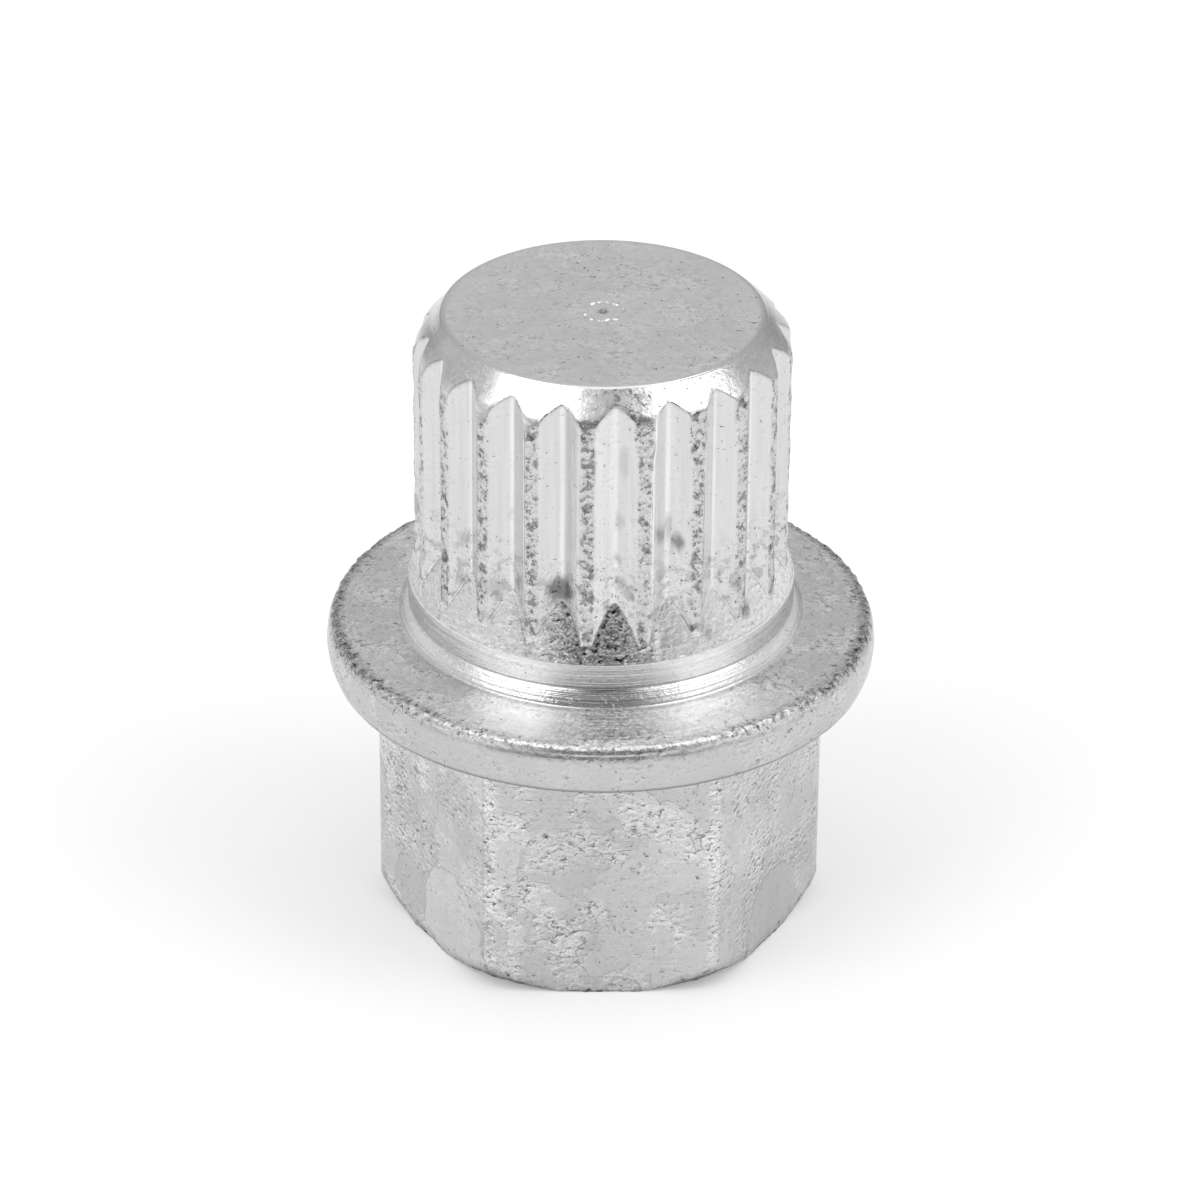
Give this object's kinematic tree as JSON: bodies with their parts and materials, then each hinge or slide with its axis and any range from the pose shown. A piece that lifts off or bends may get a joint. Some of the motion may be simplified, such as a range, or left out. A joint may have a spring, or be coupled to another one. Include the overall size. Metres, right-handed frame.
{
  "type": "locking wheel nut key",
  "caption": "One-piece steel key for locking wheel nuts: a splined head on a round flange, over a hexagon for the wheel wrench.",
  "frame": {"origin": "centre of the hexagon's free end face, which the key stands on", "axes": "+Z along the axis from the hexagon to the splined tip, -Y square to one flat of the hexagon"},
  "size_m": [0.0234, 0.0234, 0.0283],
  "materials": {
    "zinc_plate": "bright zinc plating over forged steel, satin, blotchy and pitted, with rough grey ridges"
  },
  "bodies": {
    "root": {"wheel_lock_key": "zinc_plate"}
  },
  "joints": []
}
